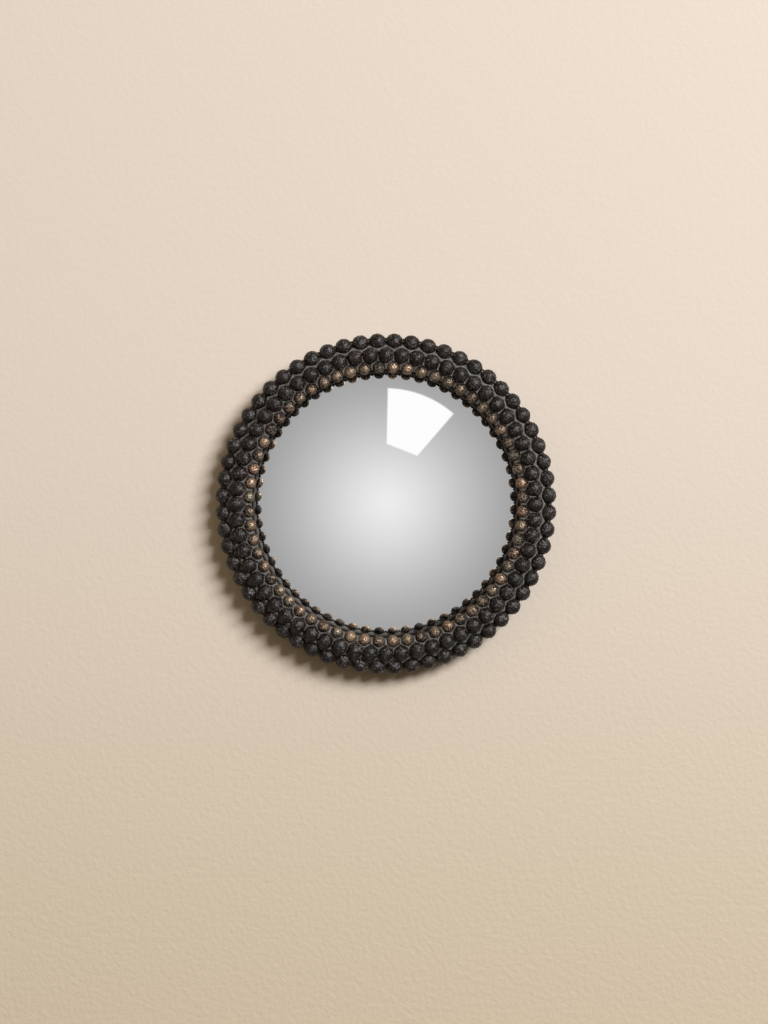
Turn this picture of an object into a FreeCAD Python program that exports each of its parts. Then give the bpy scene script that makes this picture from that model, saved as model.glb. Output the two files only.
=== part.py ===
"""A round convex wall mirror in a beaded frame.

Every piece is drawn as it lies on the bench, face up: x to the right, y up the wall and z out of the
wall, with z = 0 on the wall itself and the mirror's axis on x = y = 0. HUNG then turns each piece to
hang on the wall, so that in the finished model the mirror faces -Y, +X is to the right and +Z is up.
Sizes are in millimetres and angles in degrees.
"""

import FreeCAD, Part
import os
import Sketcher
from FreeCAD import Placement, Rotation, Vector

HUNG = Placement(Vector(0, 0, 0), Rotation(Vector(1, 0, 0), 90))

SIZES = [
    ("sight_diameter", 189, "opening of the frame, through which the glass shows"),
    ("crest_inset", 8.2, "from the opening's edge out to the crest of the moulding"),
    ("dome_radius", 16.9, "round front of the moulding, in section"),
    ("shoulder_margin", 16, "angle from the outer beads to the moulding's outer wall"),
    ("lip_rise", 4.5, "from the glass seat to the moulding's inner edge"),
    ("lip_round", 1.5, "rounding of the moulding's inner edge"),
    ("edge_chamfer", 0.8, "at the back edge of the moulding"),
    ("bead_count", 60, "beads in each of the three rings"),
    ("bead_stand", 1.0, "from the moulding's surface out to a bead's centre"),
    ("middle_bead_angle", 6.2, "from the crest out to the middle ring"),
    ("outer_bead_gap", 1.2, "between neighbours in the outer ring"),
    ("middle_bead_gap", 0.85, "between neighbours in the middle ring"),
    ("inner_bead_gap", 2.1, "between neighbours in the inner ring"),
    ("outer_row_gap", 1.79, "between the outer and middle rings' beads"),
    ("inner_row_gap", 1.14, "between the middle and inner rings' beads"),
    ("bead_glue_gap", 0.15, "round a bead in its cup"),
    ("glass_curve_radius", 300, "front of the bulged glass"),
    ("glass_thickness", 2.0, "mirror glass"),
    ("glass_edge_cover", 4.0, "how far the glass runs in under the moulding"),
    ("glass_edge_gap", 0.5, "round the glass in its rebate"),
    ("fit_gap", 0.05, "between pieces that are laid on each other"),
    ("tape_thickness", 0.35, "bedding tape between the glass and its seat"),
    ("strip_setback", 0.3, "tape and pressure ring, from the edges beside them"),
    ("pressure_ring_width", 5.5, "foam ring behind the glass's edge"),
    ("pressure_ring_edge", 0.9, "the foam ring's height at the glass's edge"),
    ("ledge_width", 8.0, "ledge that the backing board is screwed to"),
    ("board_thickness", 3.2, "backing board"),
    ("board_edge_gap", 0.3, "round the backing board"),
    ("board_recess", 1.9, "from the moulding's back in to the board"),
    ("screw_count", 8, "screws through the backing board"),
    ("screw_diameter", 2.5, "screw shank"),
    ("screw_head_diameter", 5.0, "countersunk head"),
    ("screw_length", 7.6, "whole screw, head and point included"),
    ("screw_tip_length", 1.6, "the screw's point"),
    ("screw_hole_gap", 0.1, "round a screw"),
    ("recess_length", 2.8, "cross recess, arm end to arm end"),
    ("recess_width", 0.7, "cross recess, across an arm"),
    ("recess_depth", 0.9, "cross recess"),
    ("bumper_count", 4, "wall bumpers"),
    ("bumper_diameter", 7.0, "wall bumper"),
    ("bumper_height", 2.5, "holds the moulding off the wall"),
    ("pivot_inset", 30.7, "from the backing board's edge in to the hanger ring's pivot"),
    ("wire_diameter", 2.0, "wire of the hanger ring"),
    ("ring_width", 16, "hanger ring, between the middles of its sides"),
    ("ring_reach", 14, "hanger ring, from its pivot to the middle of its top"),
    ("ring_corner", 2.5, "bend at each end of the pivot bar"),
    ("ring_clearance", 0.3, "between the folded ring and the plate"),
    ("pivot_gap", 0.08, "round the pivot bar in its knuckle"),
    ("knuckle_width", 8, "rolled knuckle, along the pivot"),
    ("plate_thickness", 0.8, "hanger plate"),
    ("plate_width", 12, "hanger plate"),
    ("plate_length", 26, "hanger plate, from the pivot to its rounded end"),
    ("rivet_diameter", 3.0, "rivet shank"),
    ("rivet_head_diameter", 5.4, "rivet head"),
    ("rivet_head_height", 1.0, "rivet head"),
    ("rivet_tail_diameter", 4.8, "rivet, where it is spread behind the board"),
    ("rivet_tail_height", 0.9, "rivet, where it is spread behind the board"),
    ("rivet_drop", 7, "from the pivot down to the upper rivet"),
    ("rivet_spacing", 12, "between the rivets"),
    ("rivet_hole_gap", 0.05, "round a rivet"),
]

doc = FreeCAD.newDocument("convex_mirror")
sheet = doc.addObject("Spreadsheet::Sheet", "Sizes")
for row, (alias, size, meaning) in enumerate(SIZES, start=1):
    sheet.set(f"A{row}", alias)
    sheet.set(f"B{row}", str(size))
    sheet.set(f"C{row}", meaning)
    sheet.setAlias(f"B{row}", alias)
doc.recompute()


def size(alias):
    """The cell of a size, as it is written in an expression."""
    return f"Sizes.{alias}"


def number(expression):
    """What an expression comes to with the sheet's present sizes."""
    result = sheet.evalExpression(expression)
    return float(getattr(result, "Value", result))


def half(expression):
    return f"({expression}) / 2"


# ---- Places that several pieces share, as expressions ----

# Heights above the wall, from the back of the stack to its front.
FRAME_BACK = size("bumper_height")
BOARD_BACK = f"({FRAME_BACK} + {size('board_recess')})"
BOARD_FRONT = f"({BOARD_BACK} + {size('board_thickness')})"
PLATE_FACE = f"({BOARD_BACK} - {size('plate_thickness')})"
WIRE_RADIUS = f"({half(size('wire_diameter'))})"
PIVOT_HEIGHT = f"({PLATE_FACE} - {size('ring_clearance')} - {WIRE_RADIUS})"

# Radii round the mirror's axis.
SIGHT_RADIUS = f"({half(size('sight_diameter'))})"
GLASS_RADIUS = f"({SIGHT_RADIUS} + {size('glass_edge_cover')})"
REBATE_RADIUS = f"({GLASS_RADIUS} + {size('glass_edge_gap')})"
RECESS_RADIUS = f"({REBATE_RADIUS} + {size('ledge_width')})"
BOARD_RADIUS = f"({RECESS_RADIUS} - {size('board_edge_gap')})"
SCREW_CIRCLE = f"({REBATE_RADIUS} + {half(size('ledge_width'))})"
CREST_RADIUS = f"({SIGHT_RADIUS} + {size('crest_inset')})"
PIVOT_RISE = f"({BOARD_RADIUS} - {size('pivot_inset')})"

# The glass is a slice of two spheres with one centre, far behind the wall.
FRONT_CURVE = size("glass_curve_radius")
BACK_CURVE = f"({FRONT_CURVE} - {size('glass_thickness')})"
GLASS_BACK_EDGE = f"({BOARD_FRONT} + {size('pressure_ring_edge')} + {size('fit_gap')})"
CURVE_CENTRE = f"({GLASS_BACK_EDGE} - sqrt({BACK_CURVE}^2 - {GLASS_RADIUS}^2))"


def glass_front(radius):
    """Height of the glass's front at a radius from its axis."""
    return f"({CURVE_CENTRE} + sqrt({FRONT_CURVE}^2 - ({radius})^2))"


def glass_back(radius):
    """Height of the glass's back at a radius from its axis."""
    return f"({CURVE_CENTRE} + sqrt({BACK_CURVE}^2 - ({radius})^2))"


def seat(radius):
    """Height of the moulding's seat over the tape and the glass."""
    return f"({glass_front(radius)} + {size('tape_thickness')} + 2 * {size('fit_gap')})"


# The moulding's front is an arc in section, and the beads' centres lie on a second arc round the
# same centre. An angle on them is measured from the crest, positive outwards.
LIP_TOP = f"({seat(SIGHT_RADIUS)} + {size('lip_rise')})"
DOME_CENTRE = f"({LIP_TOP} - sqrt({size('dome_radius')}^2 - {size('crest_inset')}^2))"
BEAD_ARC = f"({size('dome_radius')} + {size('bead_stand')})"

# Each ring of beads has the same count, so a bead is as large as its ring's pitch allows. The outer
# and inner rings lie about one middle bead out and in, and their beads nest half a pitch along.
HALF_PITCH = f"(180 / {size('bead_count')})"


def pitch(radius):
    """Distance between neighbouring bead centres on a ring of this radius."""
    return f"(2 * ({radius}) * sin({HALF_PITCH}))"


MIDDLE_RING = f"({CREST_RADIUS} + {BEAD_ARC} * sin({size('middle_bead_angle')}))"
MIDDLE_BEAD = f"({pitch(MIDDLE_RING)} - {size('middle_bead_gap')})"
OUTER_BEAD = f"({pitch(f'{MIDDLE_RING} + {MIDDLE_BEAD}')} - {size('outer_bead_gap')})"
INNER_BEAD = f"({pitch(f'{MIDDLE_RING} - {MIDDLE_BEAD}')} - {size('inner_bead_gap')})"


def row_step(bead, gap):
    """Angle on the bead arc between the middle ring and a ring of such beads beside it."""
    reach = f"(({MIDDLE_BEAD} + {bead}) / 2 + {gap})"
    along = f"({pitch(MIDDLE_RING)} / 2)"
    return f"(2 * asin(sqrt({reach}^2 - {along}^2) / (2 * {BEAD_ARC})) / (1 deg))"


OUTER_ANGLE = f"({size('middle_bead_angle')} + {row_step(OUTER_BEAD, size('outer_row_gap'))})"
INNER_ANGLE = f"({size('middle_bead_angle')} - {row_step(INNER_BEAD, size('inner_row_gap'))})"
SHOULDER_ANGLE = f"({OUTER_ANGLE} + {size('shoulder_margin')})"
WALL_RADIUS = f"({CREST_RADIUS} + {size('dome_radius')} * sin({SHOULDER_ANGLE}))"
SHOULDER_HEIGHT = f"({DOME_CENTRE} + {size('dome_radius')} * cos({SHOULDER_ANGLE}))"

# name, angle on the bead arc, bead diameter, turn along the ring
BEAD_RINGS = [
    ("outer_beads", OUTER_ANGLE, OUTER_BEAD, HALF_PITCH),
    ("middle_beads", size("middle_bead_angle"), MIDDLE_BEAD, "0"),
    ("inner_beads", INNER_ANGLE, INNER_BEAD, HALF_PITCH),
]


# ---- Ways of making ----


def new_body(label, separate_solids=False):
    """A body that hangs on the wall, under the name of the piece."""
    body = doc.addObject("PartDesign::Body", label)
    body.Label = label
    body.AllowCompound = separate_solids
    body.Placement = HUNG
    return body


def datum(body, role):
    """One of the body's own origin planes or axes."""
    return next(part for part in body.Origin.OriginFeatures if part.Role == role)


def attach(feature, body, plane, shift=None):
    """Lays a sketch or a primitive on an origin plane, shifted by three expressions."""
    feature.AttachmentSupport = [(datum(body, plane), "")]
    feature.MapMode = "FlatFace"
    for axis, expression in zip("xyz", shift or ()):
        feature.setExpression(f"AttachmentOffset.Base.{axis}", expression)


def hold_coordinate(sketch, index, point, which, corner):
    """Ties x (0) or y (1) of a sketch's point to its expression, or to an axis where that is 0."""
    expression = corner[which]
    if abs(number(expression)) < 1e-9:
        axis = (-2, -1)[which]
        sketch.addConstraint(Sketcher.Constraint("PointOnObject", index, point, axis))
        return
    kind = ("DistanceX", "DistanceY")[which]
    limit = Sketcher.Constraint(kind, -1, 1, index, point, number(expression))
    sketch.setExpression(f"Constraints[{sketch.addConstraint(limit)}]", expression)


def hold_point(sketch, index, point, corner):
    """Ties both coordinates of a sketch's point."""
    for which in (0, 1):
        hold_coordinate(sketch, index, point, which, corner)


def outline(body, name, plane, corners, arcs=None, shift=None):
    """A closed sketch through corners given as pairs of expressions.

    arcs gives, by the number of the corner that an arc starts from, its radius, its centre's two
    expressions and True where it runs anticlockwise.
    """
    arcs = arcs or {}
    sketch = body.newObject("Sketcher::SketchObject", name)
    attach(sketch, body, plane, shift)
    spots = [Vector(number(x), number(y), 0) for x, y in corners]
    count = len(corners)
    for i, start in enumerate(spots):
        end = spots[(i + 1) % count]
        if i not in arcs:
            sketch.addGeometry(Part.LineSegment(start, end))
            continue
        radius, centre, anticlockwise = arcs[i]
        middle = Vector(number(centre[0]), number(centre[1]), 0)
        first, last = (start, end) if anticlockwise else (end, start)
        circle = Part.Circle(middle, Vector(0, 0, 1), number(radius))
        sketch.addGeometry(
            Part.ArcOfCircle(circle, circle.parameter(first), circle.parameter(last))
        )
    starts = [2 if i in arcs and not arcs[i][2] else 1 for i in range(count)]
    for i in range(count):
        after = (i + 1) % count
        join = Sketcher.Constraint("Coincident", i, 3 - starts[i], after, starts[after])
        sketch.addConstraint(join)
        hold_point(sketch, i, starts[i], corners[i])
    for i, (_, centre, _) in arcs.items():
        chord = spots[(i + 1) % count] - spots[i]
        hold_coordinate(sketch, i, 3, 1 if abs(chord.x) > abs(chord.y) else 0, centre)
    return sketch


def disc(body, name, plane, centre, radius, shift=None):
    """A sketch of one circle."""
    sketch = body.newObject("Sketcher::SketchObject", name)
    attach(sketch, body, plane, shift)
    middle = Vector(number(centre[0]), number(centre[1]), 0)
    sketch.addGeometry(Part.Circle(middle, Vector(0, 0, 1), number(radius)))
    hold_point(sketch, 0, 3, centre)
    limit = sketch.addConstraint(Sketcher.Constraint("Radius", 0, number(radius)))
    sketch.setExpression(f"Constraints[{limit}]", radius)
    return sketch


def turn(body, name, sketch, kind="PartDesign::Revolution"):
    """Turns a sketch round its own upright axis, as a solid or as a cut."""
    feature = body.newObject(kind, name)
    feature.Profile = sketch
    feature.ReferenceAxis = (sketch, ["V_Axis"])
    feature.Angle = 360
    return feature


def pad(body, name, sketch, length, both_ways=False):
    """Pads a sketch by an expression, forwards or half each way."""
    feature = body.newObject("PartDesign::Pad", name)
    feature.Profile = sketch
    feature.SideType = "Symmetric" if both_ways else "One side"
    feature.setExpression("Length", length)
    return feature


def primitive(body, kind, name, plane, shift, **sizes):
    """A box, cylinder or sphere of a body, with its sizes as expressions."""
    feature = body.newObject(f"PartDesign::{kind}", name)
    attach(feature, body, plane, shift)
    for prop, expression in sizes.items():
        feature.setExpression(prop, expression)
    return feature


def ring_pattern(body, name, count, features=None):
    """Repeats features, or the whole body, round the mirror's axis."""
    doc.recompute()
    pattern = body.newObject("PartDesign::PolarPattern", name)
    pattern.Axis = (datum(body, "Z_Axis"), [""])
    pattern.Angle = 360
    pattern.setExpression("Occurrences", count)
    if features:
        pattern.Originals = features
    else:
        pattern.TransformMode = "Whole shape"
    body.Tip = pattern
    return pattern


def on_bead_arc(angle, along):
    """The three expressions of a bead's centre."""
    radius = f"({CREST_RADIUS} + {BEAD_ARC} * sin({angle}))"
    height = f"({DOME_CENTRE} + {BEAD_ARC} * cos({angle}))"
    return f"{radius} * cos({along})", f"{radius} * sin({along})", height


# ---- The frame ----


def make_moulding():
    """The turned moulding before its front is cut: domed front, glass seat, rebate and recess."""
    body = new_body("moulding_blank")
    body.Placement = Placement()
    chamfer = size("edge_chamfer")
    corners = [
        (SIGHT_RADIUS, seat(SIGHT_RADIUS)),
        (REBATE_RADIUS, seat(REBATE_RADIUS)),
        (REBATE_RADIUS, BOARD_FRONT),
        (RECESS_RADIUS, BOARD_FRONT),
        (RECESS_RADIUS, FRAME_BACK),
        (f"{WALL_RADIUS} - {chamfer}", FRAME_BACK),
        (WALL_RADIUS, f"{FRAME_BACK} + {chamfer}"),
        (WALL_RADIUS, SHOULDER_HEIGHT),
        (SIGHT_RADIUS, LIP_TOP),
    ]
    dome = {7: (size("dome_radius"), (CREST_RADIUS, DOME_CENTRE), True)}
    section = outline(body, "moulding_section", "XZ_Plane", corners, dome)
    # The section lies half a pitch round, so that the seam of the turned faces ends in bead cups.
    section.AttachmentOffset = Placement(Vector(), Rotation(Vector(0, 1, 0), number(HALF_PITCH)))
    section.setExpression("AttachmentOffset.Rotation.Angle", HALF_PITCH)
    moulding = turn(body, "moulding", section)
    doc.recompute()
    rounding = body.newObject("PartDesign::Fillet", "lip_rounding")
    rounding.Base = (moulding, [circle_at(moulding.Shape, SIGHT_RADIUS, LIP_TOP)])
    rounding.setExpression("Radius", size("lip_round"))
    doc.recompute()
    pilot = primitive(
        body, "SubtractiveCylinder", "screw_pilot", "XY_Plane", (SCREW_CIRCLE, "0", BOARD_FRONT),
        Radius=f"{half(size('screw_diameter'))} + {size('screw_hole_gap')}",
        Height=f"{size('screw_length')} - {size('board_thickness')} + {size('screw_hole_gap')}",
    )
    ring_pattern(body, "screw_pilots", size("screw_count"), [pilot])
    return body


def make_ball_ring(name, angle, diameter, along):
    """A ring of separate balls whose centres lie on the bead arc."""
    body = new_body(name, separate_solids=True)
    primitive(
        body, "AdditiveSphere", f"{name}_first", "XY_Plane", on_bead_arc(angle, along),
        Radius=half(diameter),
    )
    ring_pattern(body, f"{name}_ring", size("bead_count"))
    return body


def make_frame_ring():
    """The moulding, with a cup for each bead cut in its front."""
    cups = doc.addObject("Part::Compound", "bead_cups")
    cups.Links = [
        make_ball_ring(f"{name}_cups", angle, f"{bead} + 2 * {size('bead_glue_gap')}", along)
        for name, angle, bead, along in BEAD_RINGS
    ]
    for body in cups.Links:
        body.Placement = Placement()
    ring = doc.addObject("Part::Cut", "frame_ring")
    ring.Label = "frame_ring"
    ring.Base = make_moulding()
    ring.Tool = cups
    ring.Refine = False
    ring.Placement = HUNG
    return ring


def circle_at(shape, radius, height):
    """The name of the round edge with this radius at this height."""
    for i, edge in enumerate(shape.Edges, start=1):
        curve = edge.Curve
        if not isinstance(curve, Part.Circle) or abs(curve.Center.x) > 1e-6:
            continue
        if abs(curve.Radius - number(radius)) + abs(curve.Center.z - number(height)) < 1e-4:
            return f"Edge{i}"
    raise RuntimeError("no such round edge")


# ---- The glass and what holds it ----


def make_glass():
    """The bulged glass, silvered on its back."""
    body = new_body("convex_mirror_glass")
    corners = [
        ("0", glass_back("0")),
        (GLASS_RADIUS, glass_back(GLASS_RADIUS)),
        (GLASS_RADIUS, glass_front(GLASS_RADIUS)),
        ("0", glass_front("0")),
    ]
    centre = ("0", CURVE_CENTRE)
    curves = {0: (BACK_CURVE, centre, False), 2: (FRONT_CURVE, centre, True)}
    turn(body, "bulged_disc", outline(body, "glass_section", "XZ_Plane", corners, curves))
    return body


def make_strip(name, inner, outer, low, high):
    """A flat ring between two heights that are given at both of its edges."""
    body = new_body(name)
    corners = [(inner, low(inner)), (outer, low(outer)), (outer, high(outer)), (inner, high(inner))]
    turn(body, "strip", outline(body, "strip_section", "XZ_Plane", corners))
    return body


def make_tape():
    """The soft tape that the glass's edge is bedded on, under the moulding's seat."""
    gap = size("fit_gap")
    return make_strip(
        "glass_bedding_tape",
        f"({SIGHT_RADIUS} + {size('strip_setback')})",
        f"({GLASS_RADIUS} - {size('strip_setback')})",
        lambda radius: f"{glass_front(radius)} + {gap}",
        lambda radius: f"{glass_front(radius)} + {gap} + {size('tape_thickness')}",
    )


def make_pressure_ring():
    """The foam ring that the backing board presses against the glass's edge."""
    outer = f"({GLASS_RADIUS} - {size('strip_setback')})"
    return make_strip(
        "glass_pressure_ring",
        f"({outer} - {size('pressure_ring_width')})",
        outer,
        lambda radius: BOARD_FRONT,
        lambda radius: f"{glass_back(radius)} - {size('fit_gap')}",
    )


# ---- The back ----

HEAD_DEPTH = f"(({size('screw_head_diameter')} - {size('screw_diameter')}) / 2)"


def make_backing_board():
    """The round board that closes the back, countersunk for its screws and drilled for rivets."""
    body = new_body("backing_board")
    face = disc(body, "board_face", "XY_Plane", ("0", "0"), BOARD_RADIUS, ("0", "0", BOARD_BACK))
    pad(body, "board", face, size("board_thickness"))
    gap = size("screw_hole_gap")
    head = f"{half(size('screw_head_diameter'))} + {gap}"
    shank = f"{half(size('screw_diameter'))} + {gap}"
    corners = [
        ("0", BOARD_BACK),
        (head, BOARD_BACK),
        (shank, f"{BOARD_BACK} + {HEAD_DEPTH}"),
        (shank, BOARD_FRONT),
        ("0", BOARD_FRONT),
    ]
    section = outline(
        body, "screw_hole_section", "XZ_Plane", corners, shift=(SCREW_CIRCLE, "0", "0")
    )
    doc.recompute()
    hole = turn(body, "screw_hole", section, "PartDesign::Groove")
    ring_pattern(body, "screw_holes", size("screw_count"), [hole])
    drill_for_rivets(body, BOARD_BACK, size("board_thickness"))
    return body


def drill_for_rivets(body, height, depth):
    """Two holes for the rivets, from a height forwards."""
    for name, drop in rivet_drops():
        doc.recompute()
        primitive(
            body, "SubtractiveCylinder", f"{name}_hole", "XY_Plane",
            ("0", f"{PIVOT_RISE} - {drop}", height),
            Radius=f"{half(size('rivet_diameter'))} + {size('rivet_hole_gap')}", Height=depth,
        )


def rivet_drops():
    """Each rivet's name and its distance below the pivot."""
    upper = size("rivet_drop")
    return [("upper_rivet", upper), ("lower_rivet", f"({upper} + {size('rivet_spacing')})")]


def make_backing_screws():
    """The countersunk screws that hold the backing board, with cross recesses."""
    body = new_body("backing_screws", separate_solids=True)
    head, shank = half(size("screw_head_diameter")), half(size("screw_diameter"))
    point = f"{BOARD_BACK} + {size('screw_length')}"
    corners = [
        ("0", BOARD_BACK),
        (head, BOARD_BACK),
        (shank, f"{BOARD_BACK} + {HEAD_DEPTH}"),
        (shank, f"{point} - {size('screw_tip_length')}"),
        ("0", point),
    ]
    section = outline(body, "screw_section", "XZ_Plane", corners, shift=(SCREW_CIRCLE, "0", "0"))
    turn(body, "screw", section)
    long, wide = size("recess_length"), size("recess_width")
    for name, across, along in (("recess_out", long, wide), ("recess_round", wide, long)):
        doc.recompute()
        corner = (f"{SCREW_CIRCLE} - {across} / 2", f"-{along} / 2", BOARD_BACK)
        primitive(
            body, "SubtractiveBox", name, "XY_Plane", corner,
            Length=across, Width=along, Height=size("recess_depth"),
        )
    ring_pattern(body, "screw_circle", size("screw_count"))
    return body


def make_bumpers():
    """The round bumpers between the moulding's back and the wall."""
    body = new_body("wall_bumpers", separate_solids=True)
    circle = f"(({RECESS_RADIUS} + {WALL_RADIUS}) / 2)"
    turned = f"(180 / {size('bumper_count')})"
    centre = (f"{circle} * cos({turned})", f"{circle} * sin({turned})")
    face = disc(body, "bumper_face", "XY_Plane", centre, half(size("bumper_diameter")))
    pad(body, "bumper", face, size("bumper_height"))
    ring_pattern(body, "bumper_circle", size("bumper_count"))
    return body


# ---- The hanger ----


def make_hanger_plate():
    """The plate riveted to the board, rolled into a knuckle round the ring's pivot bar."""
    body = new_body("hanger_plate")
    side = half(size("plate_width"))
    bend = f"({PIVOT_RISE} - {size('plate_length')} + {side})"
    corners = [
        (f"-({side})", bend),
        (side, bend),
        (side, PIVOT_RISE),
        (f"-({side})", PIVOT_RISE),
    ]
    tongue = {0: (side, ("0", bend), True)}
    face = outline(body, "plate_face", "XY_Plane", corners, tongue, ("0", "0", PLATE_FACE))
    pad(body, "plate", face, size("plate_thickness"))
    bore = f"({WIRE_RADIUS} + {size('pivot_gap')})"
    pivot = (PIVOT_RISE, PIVOT_HEIGHT)
    roll = disc(body, "knuckle_face", "YZ_Plane", pivot, f"{bore} + {size('plate_thickness')}")
    doc.recompute()
    pad(body, "knuckle", roll, size("knuckle_width"), both_ways=True)
    doc.recompute()
    primitive(
        body, "SubtractiveCylinder", "knuckle_bore", "YZ_Plane",
        (*pivot, f"-{size('plate_width')} / 2"),
        Radius=bore, Height=size("plate_width"),
    )
    drill_for_rivets(body, PLATE_FACE, size("plate_thickness"))
    return body


def make_hanger_ring():
    """The D-shaped wire ring, standing up from its pivot bar as when it hangs on a hook."""
    body = new_body("hanger_ring")
    corner, side = size("ring_corner"), half(size("ring_width"))
    bend = f"({PIVOT_RISE} + {corner})"
    arch = f"({PIVOT_RISE} + {size('ring_reach')} - {side})"
    corners = [
        ("0", PIVOT_RISE),
        (f"{side} - {corner}", PIVOT_RISE),
        (side, bend),
        (side, arch),
        (f"-({side})", arch),
        (f"-({side})", bend),
        (f"-({side}) + {corner}", PIVOT_RISE),
    ]
    bends = {
        1: (corner, (f"{side} - {corner}", bend), True),
        3: (side, ("0", arch), True),
        5: (corner, (f"-({side}) + {corner}", bend), True),
    }
    line = outline(body, "ring_line", "XY_Plane", corners, bends, ("0", "0", PIVOT_HEIGHT))
    wire = disc(body, "wire_section", "YZ_Plane", (PIVOT_RISE, PIVOT_HEIGHT), WIRE_RADIUS)
    doc.recompute()
    pipe = body.newObject("PartDesign::AdditivePipe", "bent_wire")
    pipe.Profile = wire
    pipe.Spine = line
    return body


def make_rivets():
    """Two rivets with low domed heads, spread behind the board."""
    body = new_body("hanger_rivets", separate_solids=True)
    head, shank = half(size("rivet_head_diameter")), half(size("rivet_diameter"))
    tail, rise = half(size("rivet_tail_diameter")), size("rivet_head_height")
    dome = f"((({head})^2 + {rise}^2) / (2 * {rise}))"
    crown = f"({PLATE_FACE} - {rise})"
    end = f"{BOARD_FRONT} + {size('rivet_tail_height')}"
    corners = [
        ("0", crown),
        (head, PLATE_FACE),
        (shank, PLATE_FACE),
        (shank, BOARD_FRONT),
        (tail, BOARD_FRONT),
        (tail, end),
        ("0", end),
    ]
    for name, drop in rivet_drops():
        section = outline(
            body, f"{name}_section", "XZ_Plane", corners,
            {0: (dome, ("0", f"{crown} + {dome}"), True)},
            ("0", "0", f"-({PIVOT_RISE} - {drop})"),
        )
        turn(body, name, section)
        doc.recompute()
    return body


# ---- Build, check and write ----


def check(objects):
    """Stops if anything failed to build."""
    for item in objects:
        if {"Invalid", "Error"} & set(item.State):
            raise RuntimeError(f"{item.Label} is {item.State}")


def write(bodies):
    os.makedirs("parts", exist_ok=True)
    for body in bodies:
        body.Shape.exportStep(f"parts/{body.Label}.step")
        box = body.Shape.BoundBox
        print(
            f"{body.Label}: {len(body.Shape.Solids)} solids, {body.Shape.Volume:.1f} mm3, "
            f"x {box.XMin:.2f} {box.XMax:.2f}, y {box.YMin:.2f} {box.YMax:.2f}, "
            f"z {box.ZMin:.2f} {box.ZMax:.2f}"
        )


pieces = [make_frame_ring()]
pieces += [make_ball_ring(*ring) for ring in BEAD_RINGS]
pieces += [make_glass(), make_tape(), make_pressure_ring(), make_backing_board()]
pieces += [make_backing_screws(), make_bumpers(), make_hanger_plate(), make_hanger_ring()]
pieces += [make_rivets()]
doc.recompute()
check(doc.Objects)
for piece in pieces:
    if piece.Shape.isNull() or not piece.Shape.isValid():
        raise RuntimeError(f"{piece.Label} has no valid shape")
write(pieces)
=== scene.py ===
"""The looks of a round convex wall mirror in a beaded frame, hung on a pale painted wall.

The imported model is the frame: metres, +Z up, the mirror facing -Y with its axis on x = z = 0 and the
wall's face on y = 0. The beads are replaced by balls with a worked, slightly six-sided surface, thin
dusty ridges stand in the seams between them, and the glass is turned again, finely enough to reflect
well. Everything else keeps its solid and gets its finish here.
"""

import math

import bmesh
import bpy
import numpy as np
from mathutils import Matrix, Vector, noise


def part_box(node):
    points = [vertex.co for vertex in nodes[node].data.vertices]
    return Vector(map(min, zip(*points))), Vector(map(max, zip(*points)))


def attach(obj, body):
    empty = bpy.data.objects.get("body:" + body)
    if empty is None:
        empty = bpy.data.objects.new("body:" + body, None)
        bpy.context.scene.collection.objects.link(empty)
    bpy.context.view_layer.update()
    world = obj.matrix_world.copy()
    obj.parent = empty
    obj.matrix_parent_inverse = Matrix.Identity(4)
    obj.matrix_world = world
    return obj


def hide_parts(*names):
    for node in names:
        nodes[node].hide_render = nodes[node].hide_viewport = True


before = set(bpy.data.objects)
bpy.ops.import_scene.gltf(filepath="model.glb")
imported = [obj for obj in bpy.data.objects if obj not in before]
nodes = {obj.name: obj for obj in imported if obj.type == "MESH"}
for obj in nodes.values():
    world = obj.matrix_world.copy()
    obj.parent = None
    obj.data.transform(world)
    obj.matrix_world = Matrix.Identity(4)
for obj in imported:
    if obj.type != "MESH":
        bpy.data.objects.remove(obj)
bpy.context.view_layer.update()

MM = 0.001
OUTWARD = Vector((0, -1, 0))
WHITE = (1, 1, 1, 1)


def srgb(red, green, blue):
    """A colour given as it shows on screen, 0 to 255, in the linear values that nodes take."""
    def linear(value):
        share = value / 255
        return share / 12.92 if share <= 0.04045 else ((share + 0.055) / 1.055) ** 2.4
    return (linear(red), linear(green), linear(blue), 1.0)


def bearing(off_axis, angle):
    """The direction that lies off_axis degrees from the mirror's axis, angle degrees round from +X."""
    tilt, turn = math.radians(off_axis), math.radians(angle)
    side = math.sin(tilt)
    return Vector((side * math.cos(turn), -math.cos(tilt), side * math.sin(turn)))


def unit(vector):
    return vector / np.linalg.norm(vector)


# ---- Node trees ----


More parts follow.
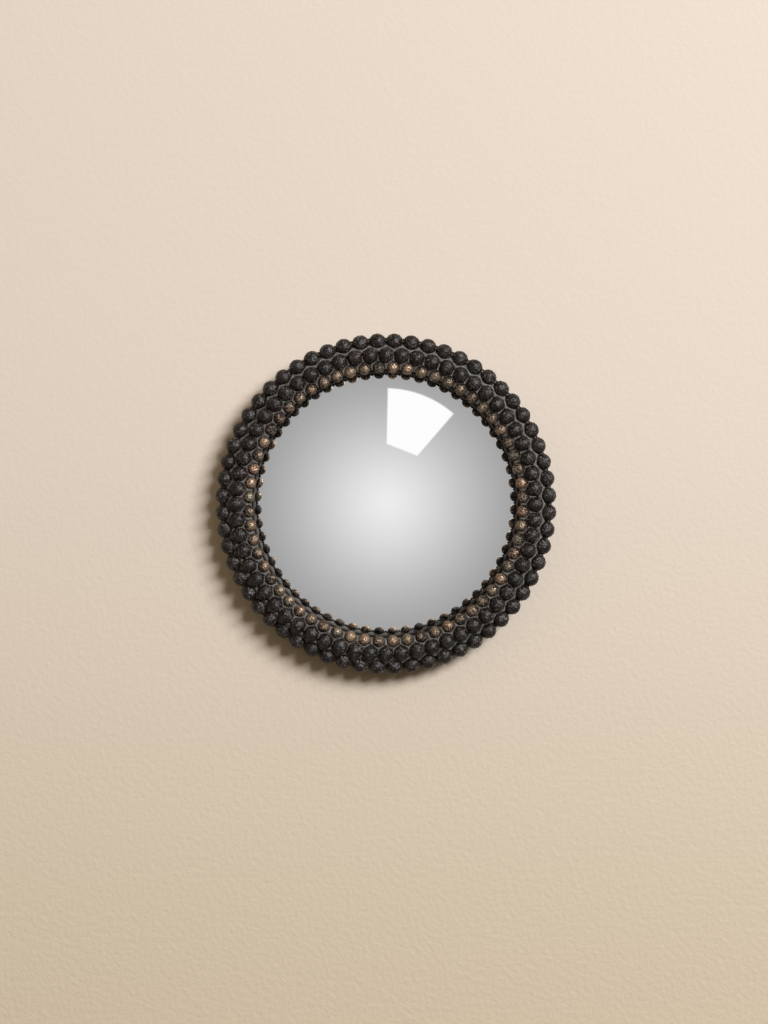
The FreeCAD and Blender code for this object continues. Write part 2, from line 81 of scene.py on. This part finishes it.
class Nodes:
    """A node tree, with short ways to add to it."""

    def __init__(self, tree):
        self.tree = tree

    def add(self, kind, **settings):
        node = self.tree.nodes.new(kind)
        for name, value in settings.items():
            setattr(node, name, value)
        return node

    def feed(self, socket, value):
        """Links an output to a socket, or sets the socket to a plain value."""
        if isinstance(value, bpy.types.NodeSocket):
            self.tree.links.new(value, socket)
        else:
            socket.default_value = value

    def make(self, kind, inputs, output, **settings):
        """Adds a node, feeds its inputs by their names or places, and gives one of its outputs."""
        node = self.add(kind, **settings)
        for name, value in inputs.items():
            self.feed(node.inputs[name], value)
        return node.outputs[output]

    def attribute(self, name):
        return self.add("ShaderNodeAttribute", attribute_name=name).outputs["Fac"]

    def maths(self, operation, first, second=0.0):
        return self.make("ShaderNodeMath", {0: first, 1: second}, 0, operation=operation)

    def dot(self, first, second):
        inputs = {0: first, 1: second}
        return self.make("ShaderNodeVectorMath", inputs, "Value", operation="DOT_PRODUCT")

    def coordinate(self, vector, axis):
        return self.make("ShaderNodeSeparateXYZ", {0: vector}, axis)

    def between(self, value, low, high):
        """0 below low, 1 above high and smooth between."""
        inputs = {"Value": value, "From Min": low, "From Max": high}
        return self.make("ShaderNodeMapRange", inputs, "Result", interpolation_type="SMOOTHSTEP")

    def spread(self, value, low, high):
        """A 0 to 1 value spread from low to high."""
        inputs = {"Value": value, "To Min": low, "To Max": high}
        return self.make("ShaderNodeMapRange", inputs, "Result")

    def mix(self, share, first, second):
        inputs = {"Factor": share, "A": first, "B": second}
        return self.make("ShaderNodeMix", inputs, "Result", data_type="RGBA")

    def blend(self, share, first, second):
        """The first shader, or the second where share is 1."""
        return self.make("ShaderNodeMixShader", {0: share, 1: first, 2: second}, 0)

    def background(self, colour, strength=1.0):
        return self.make("ShaderNodeBackground", {"Color": colour, "Strength": strength}, 0)


class Finish(Nodes):
    """A material in the making, whose patterns are fixed to the object."""

    def __init__(self, name, roughness=0.5, metallic=0.0, specular=0.5):
        self.material = bpy.data.materials.new(name)
        self.material.use_nodes = True
        super().__init__(self.material.node_tree)
        self.shader = self.tree.nodes["Principled BSDF"]
        self.set("Roughness", roughness)
        self.set("Metallic", metallic)
        self.set("Specular IOR Level", specular)
        self.place = self.add("ShaderNodeTexCoord").outputs["Object"]

    def set(self, name, value):
        self.feed(self.shader.inputs[name], value)

    def colour(self, value):
        self.set("Base Color", value)

    def noise(self, scale, detail=3.0, roughness=0.5, distortion=0.0):
        inputs = {
            "Vector": self.place, "Scale": scale, "Detail": detail,
            "Roughness": roughness, "Distortion": distortion,
        }
        return self.make("ShaderNodeTexNoise", inputs, "Fac")

    def bump(self, height, depth):
        """A bump whose height of 1 stands depth metres out."""
        inputs = {"Height": height, "Distance": depth}
        self.set("Normal", self.make("ShaderNodeBump", inputs, "Normal"))


# ---- Meshes ----


def add_object(name, data):
    added = bpy.data.objects.new(name, data)
    bpy.context.scene.collection.objects.link(added)
    return added


def add_mesh(name, points, faces, material):
    """A smooth-shaded mesh of one material."""
    mesh = bpy.data.meshes.new(name)
    mesh.from_pydata(points, [], faces)
    mesh.polygons.foreach_set("use_smooth", [True] * len(mesh.polygons))
    mesh.materials.append(material)
    return add_object(name, mesh)


def add_attribute(piece, name, values):
    """One number for each point of a mesh, for its material to read."""
    attribute = piece.data.attributes.new(name, "FLOAT", "POINT")
    attribute.data.foreach_set("value", np.array(values, dtype=np.float32))


def lathe(name, profile, steps, material):
    """A profile of (radius, height above the wall) turned round the mirror's axis.

    Radii that grow from point to point make a face that looks out of the wall.
    """
    turns = [2 * math.pi * i / steps for i in range(steps)]
    points, rounds, faces = [], [], []
    for radius, height in profile:
        start = len(points)
        for turn in turns if radius else turns[:1]:
            points.append((radius * math.cos(turn), -height, radius * math.sin(turn)))
        rounds.append(range(start, len(points)))
    for inner, outer in zip(rounds, rounds[1:]):
        for i in range(steps):
            after = (i + 1) % steps
            corners = [inner[i % len(inner)], outer[i % len(outer)]]
            corners += [outer[after % len(outer)], inner[after % len(inner)]]
            faces.append(tuple(dict.fromkeys(corners)))
    return add_mesh(name, points, faces, material)


# ---- Finishes ----

# The near-black pit colour is painted shade for the hollows of the beads.
PIT_SHADE, RED_PATINA, OLIVE_PATINA = srgb(10, 8, 7), srgb(42, 31, 29), srgb(35, 33, 29)
# The scuff colour lightens the beads' ridges, partly as wear and partly as painted highlight.
SCUFF_AND_HIGHLIGHT = srgb(122, 113, 106)
DULL_BRONZE, BRIGHT_BRONZE = srgb(142, 129, 108), srgb(182, 147, 120)
WARM_GLOSS = (1.0, 0.93, 0.87, 1)
# The moulding is dark stain at its foot, made near black so that by the glass it also draws painted
# shade in the gap there, and dusted grey between the beads.
DUST_LOW, DUST_HIGH = 14.0 * MM, 14.4 * MM


def bead_finish(name, bronze=None):
    """Dark patina with painted shade that blackens its pits and a light scuff on its ridges, partly wear
    and partly painted highlight, rubbed to bronze where that is given.
    """
    finish = Finish(name, specular=0.35)
    finish.set("Specular Tint", WARM_GLOSS)
    tint = finish.attribute("tint")
    grain = finish.noise(900, detail=3, roughness=0.7)
    high = finish.maths("ADD", finish.attribute("relief"), finish.spread(grain, -0.6, 0.6))
    clouds = finish.between(finish.noise(70, detail=1), 0.35, 0.65)
    patina = finish.mix(clouds, OLIVE_PATINA, RED_PATINA)
    # Painted shade: the hollows of the relief go near black.
    base = finish.mix(finish.between(high, -0.5, 0.4), PIT_SHADE, patina)
    # The high ridges turn light grey: partly wear, partly painted highlight.
    ridge = finish.maths("MULTIPLY", finish.between(high, 0.35, 0.8), finish.spread(tint, 0.35, 1.0))
    base = finish.mix(ridge, base, SCUFF_AND_HIGHLIGHT)
    rough = finish.spread(grain, 0.26, 0.5)
    if bronze:
        blotches = finish.spread(finish.noise(160, detail=2), -0.35, 0.35)
        wear = finish.maths("ADD", finish.maths("MULTIPLY", high, 0.65), finish.attribute("rub"))
        wear = finish.maths("ADD", wear, blotches)
        wear = finish.maths("SUBTRACT", wear, finish.spread(finish.attribute("age"), -0.05, 0.5))
        worn = finish.between(wear, 0.2, 1.15)
        base = finish.mix(worn, base, finish.mix(tint, *bronze))
        finish.set("Metallic", finish.maths("MULTIPLY", worn, 0.85))
        dull = finish.maths("MULTIPLY", finish.maths("SUBTRACT", 1.0, worn), 0.3)
        rough = finish.maths("ADD", rough, dull)
    finish.colour(base)
    finish.set("Roughness", rough)
    finish.bump(grain, 0.22 * MM)
    return finish.material


def moulding_finish():
    """Dark stain, dusted grey in between the beads, with a dark line of painted shade where it meets the
    glass.
    """
    finish = Finish("stained_moulding", specular=0.15)
    grain = finish.noise(700, detail=5, roughness=0.65)
    # Painted shade: the near-black stain below the dust also draws the shadowed gap where the moulding
    # meets the glass.
    stain_and_shade = finish.mix(grain, srgb(24, 17, 14), srgb(50, 39, 32))
    dust = finish.mix(grain, srgb(84, 80, 76), srgb(116, 111, 106))
    height = finish.maths("MULTIPLY", finish.coordinate(finish.place, "Y"), -1.0)
    finish.colour(finish.mix(finish.between(height, DUST_LOW, DUST_HIGH), stain_and_shade, dust))
    finish.set("Roughness", finish.spread(grain, 0.6, 0.9))
    finish.bump(grain, 0.08 * MM)
    return finish.material


def dust_finish():
    """Grey dust and wax that lie along the ridges between the beads."""
    finish = Finish("dusty_ridges", specular=0.3)
    grain = finish.noise(600, detail=4, roughness=0.65)
    finish.colour(finish.mix(finish.between(grain, 0.3, 0.7), srgb(68, 63, 59), srgb(128, 122, 115)))
    finish.set("Roughness", finish.spread(grain, 0.45, 0.75))
    finish.bump(grain, 0.08 * MM)
    return finish.material


def glass_finish():
    """Silvered glass, with faint smears and the least waviness."""
    finish = Finish("silvered_glass", metallic=1.0)
    smear = finish.noise(45, detail=4, roughness=0.6, distortion=1.5)
    finish.colour(finish.mix(smear, (0.945, 0.945, 0.945, 1), (0.955, 0.955, 0.955, 1)))
    finish.set("Roughness", finish.spread(smear, 0.006, 0.02))
    finish.bump(finish.noise(30, detail=1), 0.002 * MM)
    return finish.material


def board_finish():
    """Pressed fibreboard."""
    finish = Finish("backing_fibreboard", roughness=0.75)
    fibres = finish.noise(260, detail=6, roughness=0.7, distortion=1.2)
    finish.colour(finish.mix(fibres, srgb(112, 82, 58), srgb(158, 124, 92)))
    finish.bump(fibres, 0.15 * MM)
    return finish.material


def metal_finish(name, dark, light, roughness):
    """Plated steel, scuffed."""
    finish = Finish(name, metallic=1.0)
    scuff = finish.noise(900, detail=5, roughness=0.7)
    finish.colour(finish.mix(scuff, dark, light))
    finish.set("Roughness", finish.spread(scuff, roughness - 0.1, roughness + 0.15))
    finish.bump(scuff, 0.02 * MM)
    return finish.material


def soft_finish(name, dark, light, scale, depth):
    """Rubber, felt or foam."""
    finish = Finish(name, roughness=0.85)
    grain = finish.noise(scale, detail=5, roughness=0.7)
    finish.colour(finish.mix(grain, dark, light))
    finish.bump(grain, depth)
    return finish.material


# ---- Beads ----

# The moulding's round front, in section: the radius and height of its centre.
CREST_RADIUS, DOME_CENTRE = 102.7 * MM, 2.2 * MM
BEAD_CUTS = 22
WELD = 1e-6
LUMP_SIZE, WRINKLE_SIZE, CRACK_SIZE = 4.0 * MM, 1.5 * MM, 1.9 * MM
WARP_SIZE, WARP_REACH = 2.4 * MM, 0.7 * MM
# The gap left for the seam between two beads that bulge towards each other.
SEAM_WIDTH = 0.75 * MM
# A bead is round on top and takes its six-sided shape on the way down, as cosines from its outward.
ROUND_RISE, SIDED_RISE = 0.8, 0.1
# It stays round on a side where no neighbour stands, as cosines from the nearest one.
LONE_FACING, CROWDED_FACING = 0.35, 0.75
INNER_GROWTH = 1.06
RUB_LEAN, RUB_SIDE, RUB_FRONT = 0.6, 0.42, 0.58
# Unless it is seeded, noise_vector starts from the time of day and warps the wrinkles anew each run.
WRINKLE_SEED = 7
noise.seed_set(WRINKLE_SEED)


def ball_places(node):
    """The centre and radius of each ball of a node, in order round the mirror."""
    mesh = bmesh.new()
    mesh.from_mesh(nodes[node].data)
    bmesh.ops.remove_doubles(mesh, verts=mesh.verts[:], dist=WELD)
    seen, found = set(), []
    for first in mesh.verts:
        if first in seen:
            continue
        seen.add(first)
        group, edge = [], [first]
        while edge:
            vertex = edge.pop()
            group.append(vertex.co.copy())
            for link in vertex.link_edges:
                other = link.other_vert(vertex)
                if other not in seen:
                    seen.add(other)
                    edge.append(other)
        points = np.array(group)
        # A ball's points p keep |p|^2 = 2 c.p + (r^2 - c.c), which is linear in c and in the rest.
        rows = np.hstack([2 * points, np.ones((len(points), 1))])
        answer = np.linalg.lstsq(rows, (points ** 2).sum(1), rcond=None)[0]
        centre = answer[:3]
        found.append((centre, math.sqrt(answer[3] + centre @ centre)))
    mesh.free()
    return sorted(found, key=lambda ball: math.atan2(ball[0][2], ball[0][0]))


PLACES = {ring: ball_places(ring) for ring in ("outer_beads", "middle_beads", "inner_beads")}
PLACES["inner_beads"] = [(centre, radius * INNER_GROWTH) for centre, radius in PLACES["inner_beads"]]
EVERY_PLACE = [place for ring in PLACES.values() for place in ring]


def gap_between(first, second):
    """The free distance between two balls, each given as its centre and radius."""
    return np.linalg.norm(second[0] - first[0]) - first[1] - second[1]


def outward_at(centre):
    """Square out of the moulding's round front at a bead."""
    radius = math.hypot(centre[0], centre[2])
    side = (radius - CREST_RADIUS) / radius
    return unit(np.array([centre[0] * side, centre[1] + DOME_CENTRE, centre[2] * side]))


def unit_ball():
    """A cube gridded and blown up to a unit ball: its points, and its four-cornered faces."""
    mesh = bmesh.new()
    bmesh.ops.create_cube(mesh, size=2)
    bmesh.ops.subdivide_edges(mesh, edges=mesh.edges[:], cuts=BEAD_CUTS - 1, use_grid_fill=True)
    points = np.array([vertex.co for vertex in mesh.verts])
    points = np.tan(points * math.pi / 4)
    points /= np.linalg.norm(points, axis=1)[:, None]
    faces = np.array([[vertex.index for vertex in face.verts] for face in mesh.faces])
    mesh.free()
    return points, faces


def crackle(point):
    """How far a bead's surface stands out there, about -1 to 1: lumps, wrinkles and cracks."""
    lumps = noise.noise(point / LUMP_SIZE)
    warped = point + noise.noise_vector(point / WARP_SIZE) * WARP_REACH
    wrinkle = 1 - 4.5 * abs(noise.noise(warped / WRINKLE_SIZE))
    near, next_near = noise.voronoi(warped / CRACK_SIZE)[0][:2]
    cracks = min(1.0, (next_near - near) * 3.0) * 2 - 1
    return 0.3 * lumps + 0.5 * max(wrinkle, -1.0) + 0.35 * cracks


def cell_radius(ball, outward, centre, radius, bulge):
    """How far a bead reaches in each direction, grown to fill its place among its neighbours."""
    rise = ball @ outward
    along = ball - rise[:, None] * outward
    along /= np.maximum(np.linalg.norm(along, axis=1), 1e-9)[:, None]
    reach = np.full(len(ball), radius * bulge)
    crowd = np.zeros(len(ball))
    for other in EVERY_PLACE:
        gap = gap_between((centre, radius), other)
        if not 0 < gap < radius:
            continue
        away = other[0] - centre
        facing = along @ unit(away - (away @ outward) * outward)
        edge = (radius + gap / 2 - SEAM_WIDTH / 2) / np.maximum(facing, 0.05)
        reach = np.minimum(reach, edge)
        crowd = np.maximum(crowd, facing)
    crowded = np.clip((crowd - LONE_FACING) / (CROWDED_FACING - LONE_FACING), 0, 1)
    skirt = np.clip((ROUND_RISE - rise) / (ROUND_RISE - SIDED_RISE), 0, 1)
    return radius + (reach - radius) * crowded * skirt * skirt * (3 - 2 * skirt)


def rub_of(ball, centre):
    """How much a bead's surface is rubbed: most on its front and towards the mirror's middle."""
    inward = unit(-centre * (1, 0, 1))
    return RUB_SIDE + RUB_FRONT * (ball @ unit(np.array(OUTWARD) + RUB_LEAN * inward))


def dress_beads(node, material, depth, bulge, rubbed=False):
    """Replaces a node's balls by balls with a worked surface, in two pieces to keep each one light."""
    ball, faces = unit_ball()
    count = len(ball)
    places = PLACES[node]
    half = len(places) // 2
    for part, share in (("a", places[:half]), ("b", places[half:])):
        points, values = [], {"tint": [], "age": [], "relief": [], "rub": []}
        for centre, radius in share:
            reach = cell_radius(ball, outward_at(centre), centre, radius, bulge)
            relief = np.array([crackle(Vector(p + centre * 3)) for p in ball * radius])
            points.append(centre + ball * (reach + depth * (relief - 0.15))[:, None])
            values["tint"].append(np.full(count, 0.5 + 0.9 * noise.noise(Vector(centre) * 500)))
            values["age"].append(np.full(count, 0.5 + 1.1 * noise.noise(Vector(centre) * 900)))
            values["relief"].append(relief)
            values["rub"].append(rub_of(ball, centre) if rubbed else np.zeros(count))
        every_face = np.concatenate([faces + i * count for i in range(len(share))]).tolist()
        piece = add_mesh(f"{node}_{part}", np.concatenate(points).tolist(), every_face, material)
        for name, value in values.items():
            add_attribute(piece, name, np.concatenate(value))
        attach(piece, "mirror")
        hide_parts(node)


# ---- Ridges in the seams between the beads ----

# A ridge's top stands at SEAM_RISE, and higher where the gap is wide, over its hidden root.
SEAM_RISE, SEAM_SPREAD, SEAM_ROOT = 0.8 * MM, 0.35, -1.0 * MM
SEAM_PROFILE = [-1.0, -0.62, -0.3, 0.0, 0.3, 0.62, 1.0]
# It runs on from the middle of the gap until a third bead is nearer, or else stops short.
SEAM_STEP, SEAM_REACH, SEAM_FREE_REACH = 0.4 * MM, 4.2 * MM, 1.2 * MM
SEAM_NEARER, SEAM_OVERLAP, SEAM_WIDEST_GAP = 0.25 * MM, 0.5 * MM, 2.1 * MM
SEAM_GRAIN, SEAM_GRAIN_SIZE = 0.15 * MM, 0.8 * MM


def seam_strip(first, second, others):
    """The rows of points of one ridge, across the gap between two neighbouring beads."""
    (a, radius_a), (b, radius_b) = first, second
    across = unit(b - a)
    middle = (a + across * radius_a + b - across * radius_b) / 2
    outward = outward_at(a) + outward_at(b)
    outward = unit(outward - across * (outward @ across))
    along = np.cross(outward, across)
    top = SEAM_RISE + SEAM_SPREAD * gap_between(first, second)
    rows = []
    for turn in (-1, 1):
        side = []
        place = 0.0
        while place < SEAM_REACH:
            spot = middle + along * place * turn
            clear = np.linalg.norm(spot - a) - radius_a
            side.append((spot, clear))
            if any(np.linalg.norm(spot - c) - r < clear - SEAM_NEARER for c, r in others):
                break
            place += SEAM_STEP
        else:
            side = side[:int(SEAM_FREE_REACH / SEAM_STEP) + 1]
        rows = side[::-1] if turn < 0 else rows + side[1:]
    points = []
    for spot, clear in rows:
        half = clear + SEAM_OVERLAP
        for place in SEAM_PROFILE:
            level = SEAM_ROOT + (top - SEAM_ROOT) * (1 - place * place)
            grain = SEAM_GRAIN * noise.noise(Vector(spot + across * half * place) / SEAM_GRAIN_SIZE)
            points.append(spot + across * half * place + outward * (level + grain))
    return points


def make_seams():
    """Thin dusty ridges of the moulding that stand between the beads."""
    points, faces = [], []
    wide = len(SEAM_PROFILE)
    for i, first in enumerate(EVERY_PLACE):
        near = [(gap_between(first, ball), j) for j, ball in enumerate(EVERY_PLACE) if j != i]
        close = [j for gap, j in near if gap < first[1]]
        for gap, j in near:
            if j < i or not 0 < gap < SEAM_WIDEST_GAP:
                continue
            others = [EVERY_PLACE[k] for k in close if k != j]
            start = len(points)
            points += seam_strip(first, EVERY_PLACE[j], others)
            for row in range((len(points) - start) // wide - 1):
                for column in range(wide - 1):
                    corner = start + row * wide + column
                    faces.append((corner, corner + 1, corner + wide + 1, corner + wide))
    piece = add_mesh("seam_ridges", [tuple(point) for point in points], faces, dust_finish())
    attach(piece, "mirror")


# ---- Glass ----

GLASS_CURVE, GLASS_THICKNESS = 300 * MM, 2 * MM
GLASS_FRONT_STEPS, GLASS_BACK_STEPS, GLASS_TURNS = 64, 16, 256


def make_glass():
    """The bulged glass, turned finely enough for its reflections to run true."""
    low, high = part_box("convex_mirror_glass")
    edge, drop = high.x, GLASS_CURVE + low.y

    def curve(radius, count):
        spots = [edge * i / count for i in range(count + 1)]
        return [(spot, math.sqrt(radius ** 2 - spot ** 2) - drop) for spot in spots]

    front = curve(GLASS_CURVE, GLASS_FRONT_STEPS)
    back = curve(GLASS_CURVE - GLASS_THICKNESS, GLASS_BACK_STEPS)
    glass = lathe("mirror_glass", front + back[::-1], GLASS_TURNS, glass_finish())
    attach(glass, "mirror")
    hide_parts("convex_mirror_glass")
    return glass


# ---- Wall ----

# The foot colour is painted shade: the wall turns darker and warmer towards its bottom.
WALL_SHADED_FOOT_COLOUR, WALL_COLOUR = srgb(214, 197, 170), srgb(229, 214, 198)
WALL_LOW, WALL_HIGH = -0.45, 0.15
# The wall is open behind the mirror, just wide enough for the mirror to hide it.
WALL_OPENING, WALL_REACH, WALL_LEVEL = 0.104, 2.6, -0.4 * MM


def wall_finish():
    """Pale beige paint with a fine orange-peel surface and painted shade that darkens and warms it
    towards its foot, clear to a camera that stands behind it.
    """
    finish = Finish("painted_wall", roughness=0.6, specular=0.25)
    rise = finish.between(finish.coordinate(finish.place, "Z"), WALL_LOW, WALL_HIGH)
    # Painted shade: the paint darkens and warms towards the foot of the wall.
    finish.colour(finish.mix(rise, WALL_SHADED_FOOT_COLOUR, WALL_COLOUR))
    peel = finish.noise(260, detail=3, roughness=0.55)
    finish.bump(finish.maths("MULTIPLY", peel, finish.spread(rise, 1.3, 0.5)), 0.35 * MM)
    behind = finish.add("ShaderNodeNewGeometry").outputs["Backfacing"]
    camera = finish.add("ShaderNodeLightPath").outputs["Is Camera Ray"]
    clear = finish.add("ShaderNodeBsdfTransparent").outputs[0]
    shown = finish.blend(finish.maths("MULTIPLY", behind, camera), finish.shader.outputs[0], clear)
    finish.feed(finish.tree.nodes["Material Output"].inputs["Surface"], shown)
    return finish.material


def make_wall():
    profile = [(WALL_OPENING, WALL_LEVEL), (WALL_REACH, WALL_LEVEL)]
    wall = lathe("wall", profile, 96, wall_finish())
    return wall


# ---- A painted reflection: a glowing panel that only glossy reflections see, in degrees off the mirror's axis and round from +X ----

PANEL_DISTANCE = 2.05
PANEL_NEAR, PANEL_FAR = 14.5, 32.45
PANEL_START, PANEL_END = 47.7, 89.5
PANEL_BLUR = 0.035
PANEL_STRENGTH = 1.03
PANEL_STEPS = 60


def panel_finish():
    """White light that fades out at the panel's edges."""
    material = bpy.data.materials.new("panel_light")
    material.use_nodes = True
    material.node_tree.nodes.clear()
    tree = Nodes(material.node_tree)
    fade = tree.between(tree.attribute("edge"), 0.0, PANEL_BLUR)
    glow = tree.make("ShaderNodeEmission", {"Color": WHITE, "Strength": PANEL_STRENGTH}, 0)
    clear = tree.add("ShaderNodeBsdfTransparent").outputs[0]
    output = tree.add("ShaderNodeOutputMaterial")
    tree.feed(output.inputs["Surface"], tree.blend(fade, clear, glow))
    return material


def make_panel():
    """A glowing panel, no lamp, that only glossy reflections see, as a painted reflection: a sector of a
    ring, straight on its near side.
    """
    shares = [i / PANEL_STEPS for i in range(PANEL_STEPS + 1)]
    start, end = (bearing(PANEL_NEAR, angle) for angle in (PANEL_START, PANEL_END))
    spots, edges = [], []
    for across in shares:
        near = start.lerp(end, across)
        far = bearing(PANEL_FAR, PANEL_START + (PANEL_END - PANEL_START) * across)
        for out in shares:
            spots.append(near.lerp(far, out) * PANEL_DISTANCE)
            edges.append(min(across, 1 - across, out, 1 - out))
    row = PANEL_STEPS + 1
    faces = [
        (row * i + j, row * i + j + 1, row * (i + 1) + j + 1, row * (i + 1) + j)
        for i in range(PANEL_STEPS) for j in range(PANEL_STEPS)
    ]
    panel = add_mesh("lit_panel", spots, faces, panel_finish())
    add_attribute(panel, "edge", edges)
    panel.visible_camera = False
    panel.visible_diffuse = False
    panel.visible_transmission = False
    panel.visible_shadow = False


# ---- Lamps: a key beside the camera, and two that light the back alone ----

KEY_BEARING, KEY_OFF_AXIS, KEY_DISTANCE, KEY_POWER = 42, 43, 5.5, 352
KEY_WIDTH, KEY_HEIGHT = 2.7, 1.5
KEY_COLOUR = (0.97, 1.0, 1.055)
REAR_LAMPS = [("rear_left", (-0.9, 1.4, 0.9), 34), ("rear_right", (1.2, 1.3, 0.2), 16)]
REAR_SIZE = 0.8
REAR_COLOUR = (1, 1, 1)
REAR_NODES = [
    "frame_ring", "backing_board", "backing_screws", "wall_bumpers",
    "hanger_plate", "hanger_ring", "hanger_rivets",
]


def area_lamp(name, place, width, height, power, colour):
    """A lamp that faces the mirror's middle."""
    light = bpy.data.lights.new(name, "AREA")
    light.shape = "RECTANGLE"
    light.size = width
    light.size_y = height
    light.energy = power
    light.color = colour
    lamp = add_object(name, light)
    lamp.location = place
    lamp.rotation_mode = "QUATERNION"
    lamp.rotation_quaternion = (-Vector(place)).to_track_quat("-Z", "Y")
    lamp.visible_camera = False
    return lamp


def linked(name, pieces, state):
    """A collection that a light's linking keeps to, or leaves out."""
    group = bpy.data.collections.new(name)
    for piece in pieces:
        group.objects.link(piece)
    for entry in group.collection_objects:
        entry.light_linking.link_state = state
    return group


def make_lamps(wall, glass):
    key_place = bearing(KEY_OFF_AXIS, KEY_BEARING) * KEY_DISTANCE
    key = area_lamp("key", key_place, KEY_WIDTH, KEY_HEIGHT, KEY_POWER, KEY_COLOUR)
    key.light_linking.receiver_collection = linked("no_key", [glass], "EXCLUDE")
    back = linked("rear_lit", [nodes[name] for name in REAR_NODES], "INCLUDE")
    clear = linked("rear_clear", [wall], "EXCLUDE")
    for name, place, power in REAR_LAMPS:
        lamp = area_lamp(name, place, REAR_SIZE, REAR_SIZE, power, REAR_COLOUR)
        lamp.light_linking.receiver_collection = back
        lamp.light_linking.blocker_collection = clear


# ---- World: a warm room that lights the object, and a soft glow that shows in the glass ----

ROOM_LEVEL, ROOM_LEAST = 0.17, 0.02
ROOM_SLOPE = (-0.13, 0, 0.27)
ROOM_COLOUR, FLOOR_COLOUR = (1.0, 0.82, 0.56, 1), (1.0, 0.70, 0.38, 1)
FLOOR_BLEND = 0.75
GLOW_FLOOR, GLOW_PEAK, GLOW_WIDTH, GLOW_POWER = 0.206, 0.677, 31.4, 1.5
GLOW_AXIS = bearing(3.39, -83)
BACKDROP_COLOUR = srgb(231, 218, 202)


def make_world():
    world = bpy.data.worlds.new("room")
    bpy.context.scene.world = world
    world.use_nodes = True
    world.node_tree.nodes.clear()
    tree = Nodes(world.node_tree)
    look = tree.add("ShaderNodeTexCoord").outputs["Generated"]
    angle = tree.maths("ARCCOSINE", tree.maths("MINIMUM", tree.dot(look, GLOW_AXIS), 1.0))
    fall = tree.maths("POWER", tree.maths("DIVIDE", angle, math.radians(GLOW_WIDTH)), GLOW_POWER)
    glow = tree.maths("EXPONENT", tree.maths("MULTIPLY", fall, -1.0))
    glow = tree.maths("ADD", tree.maths("MULTIPLY", glow, GLOW_PEAK), GLOW_FLOOR)
    level = tree.maths("ADD", tree.dot(look, ROOM_SLOPE), ROOM_LEVEL)
    rise = tree.maths("ADD", tree.coordinate(look, "Z"), FLOOR_BLEND)
    tint = tree.mix(rise, FLOOR_COLOUR, ROOM_COLOUR)
    room = tree.background(tint, tree.maths("MAXIMUM", level, ROOM_LEAST))
    rays = tree.add("ShaderNodeLightPath").outputs
    lit = tree.blend(rays["Is Glossy Ray"], room, tree.background(WHITE, glow))
    seen = tree.blend(rays["Is Camera Ray"], lit, tree.background(BACKDROP_COLOUR))
    output = tree.add("ShaderNodeOutputWorld")
    tree.feed(output.inputs["Surface"], seen)


# ---- Camera: square to the wall, a little above the mirror, shifted down to frame it ----

IMAGE_WIDTH, IMAGE_HEIGHT = 768, 1024
SENSOR = 36.0
CAMERA_DISTANCE, CAMERA_RISE = 1.5, 0.110
FOCAL_PIXELS = 2110
RING_CENTRE_PIXEL = (385.85, 503.96)
BEAD_PLANE = 15.5 * MM
CLIP_START, CLIP_END = 0.01, 20


def make_camera():
    data = bpy.data.cameras.new("camera")
    data.sensor_width = SENSOR
    data.lens = FOCAL_PIXELS * SENSOR / IMAGE_HEIGHT
    reach = CAMERA_DISTANCE - BEAD_PLANE
    foot = RING_CENTRE_PIXEL[1] - FOCAL_PIXELS * CAMERA_RISE / reach
    data.shift_y = (foot - IMAGE_HEIGHT / 2) / IMAGE_HEIGHT
    data.clip_start, data.clip_end = CLIP_START, CLIP_END
    camera = add_object("camera", data)
    side = -(RING_CENTRE_PIXEL[0] - IMAGE_WIDTH / 2) * reach / FOCAL_PIXELS
    camera.location = (side, -CAMERA_DISTANCE, CAMERA_RISE)
    camera.rotation_euler = (math.pi / 2, 0, 0)
    bpy.context.scene.camera = camera


# ---- The object ----

dark_bead = bead_finish("dark_bead")
rubbed_bead = bead_finish("rubbed_bead", (DULL_BRONZE, BRIGHT_BRONZE))
dress_beads("outer_beads", dark_bead, depth=0.26 * MM, bulge=1.07)
dress_beads("middle_beads", dark_bead, depth=0.24 * MM, bulge=1.12)
dress_beads("inner_beads", rubbed_bead, depth=0.24 * MM, bulge=1.0, rubbed=True)
make_seams()

FINISHES = {
    "frame_ring": moulding_finish(),
    "glass_bedding_tape": soft_finish("felt_tape", srgb(20, 19, 18), srgb(40, 38, 36), 1200, 0.1 * MM),
    "glass_pressure_ring": soft_finish("foam_ring", srgb(52, 52, 54), srgb(80, 80, 82), 900, 0.2 * MM),
    "backing_board": board_finish(),
    "backing_screws": metal_finish("screw_steel", srgb(170, 160, 130), srgb(205, 196, 168), 0.32),
    "wall_bumpers": soft_finish("bumper_rubber", srgb(46, 45, 44), srgb(66, 64, 62), 800, 0.05 * MM),
    "hanger_plate": metal_finish("hanger_steel", srgb(150, 148, 142), srgb(190, 187, 180), 0.38),
    "hanger_ring": metal_finish("hanger_wire", srgb(160, 158, 152), srgb(200, 198, 190), 0.3),
    "hanger_rivets": metal_finish("rivet_steel", srgb(165, 162, 155), srgb(205, 202, 194), 0.3),
}
for name, material in FINISHES.items():
    nodes[name].data.materials.clear()
    nodes[name].data.materials.append(material)

make_lamps(make_wall(), make_glass())
make_panel()
make_world()
make_camera()

bpy.context.scene.view_settings.view_transform = "Standard"
